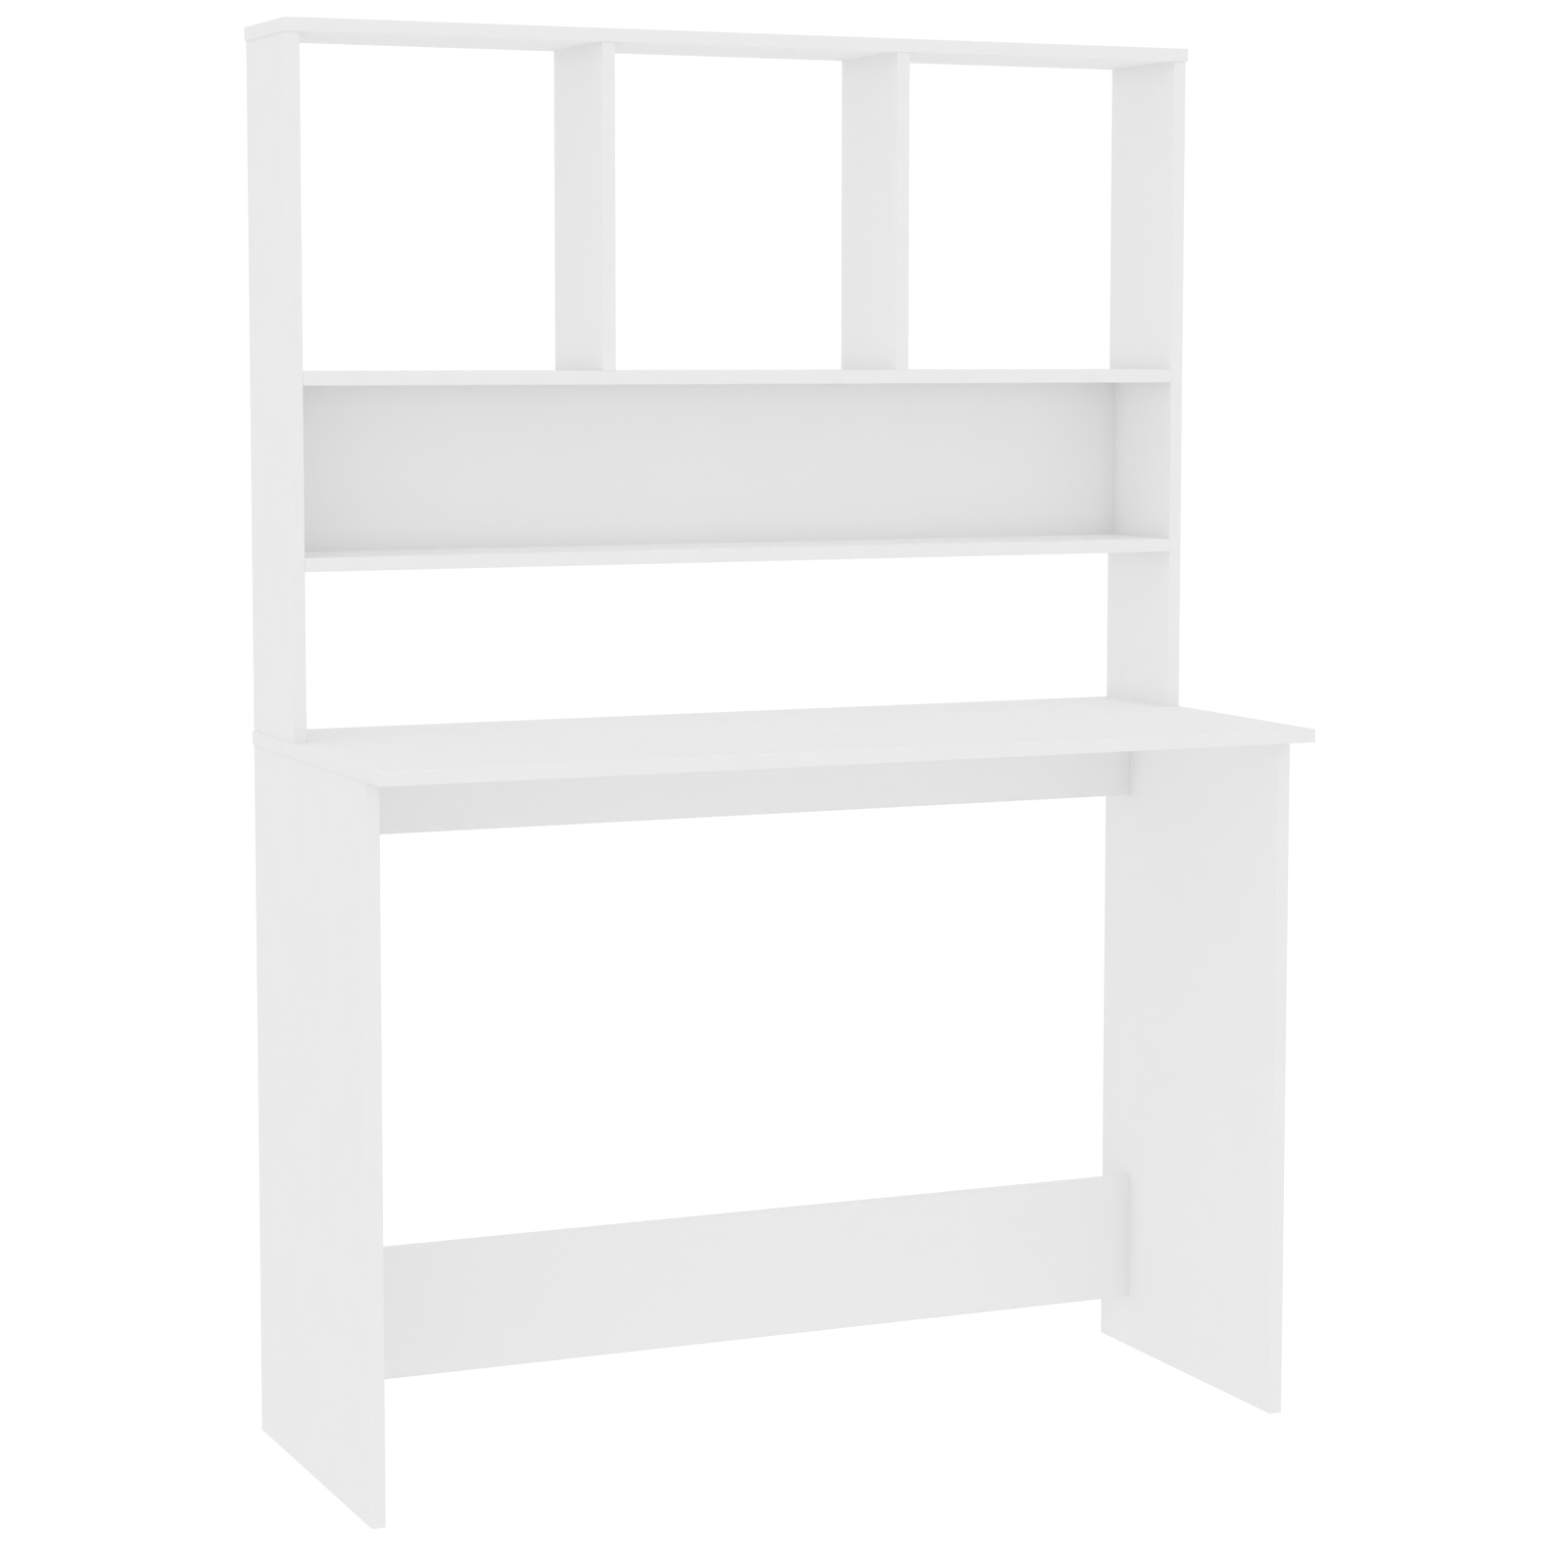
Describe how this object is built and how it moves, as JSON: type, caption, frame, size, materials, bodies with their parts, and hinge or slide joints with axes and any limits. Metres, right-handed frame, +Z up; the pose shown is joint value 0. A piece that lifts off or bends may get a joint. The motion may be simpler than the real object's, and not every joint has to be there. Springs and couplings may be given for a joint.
{
  "type": "desk with hutch",
  "caption": "Chipboard desk on two panel legs with a shallow open hutch: three top bays, a backed compartment and a rail and stretcher behind the knees.",
  "frame": {"origin": "on the floor, in the middle of the footprint", "axes": "+X to the right of the person at the desk, +Y to the rear, +Z up"},
  "size_m": [1.1, 0.45, 1.57],
  "materials": {
    "melamine_board": "satin",
    "plastic_edging": "satin",
    "plated_steel": "satin",
    "zinc_casting": "satin",
    "beech": "matte",
    "cover_film": "satin"
  },
  "bodies": {
    "root": {"desktop": "melamine_board", "desktop_edging": "plastic_edging", "leg_panel_left": "melamine_board", "leg_panel_left_edging": "plastic_edging", "leg_panel_right": "melamine_board", "leg_panel_right_edging": "plastic_edging", "upper_rail": "melamine_board", "upper_rail_edging": "plastic_edging", "lower_stretcher": "melamine_board", "lower_stretcher_edging": "plastic_edging", "hutch_side_left": "melamine_board", "hutch_side_left_edging": "plastic_edging", "hutch_side_right": "melamine_board", "hutch_side_right_edging": "plastic_edging", "lower_shelf": "melamine_board", "lower_shelf_edging": "plastic_edging", "compartment_back": "melamine_board", "upper_shelf": "melamine_board", "upper_shelf_edging": "plastic_edging", "divider_left": "melamine_board", "divider_left_edging": "plastic_edging", "divider_right": "melamine_board", "divider_right_edging": "plastic_edging", "top_board": "melamine_board", "top_board_edging": "plastic_edging", "cam_bolts_base": "plated_steel", "cam_locks_base": "zinc_casting", "dowels_base": "beech", "cover_stickers_base": "cover_film", "cam_bolts_hutch": "plated_steel", "cam_locks_hutch": "zinc_casting", "dowels_hutch": "beech", "cover_stickers_hutch": "cover_film", "back_panel_screws": "plated_steel"}
  },
  "joints": []
}
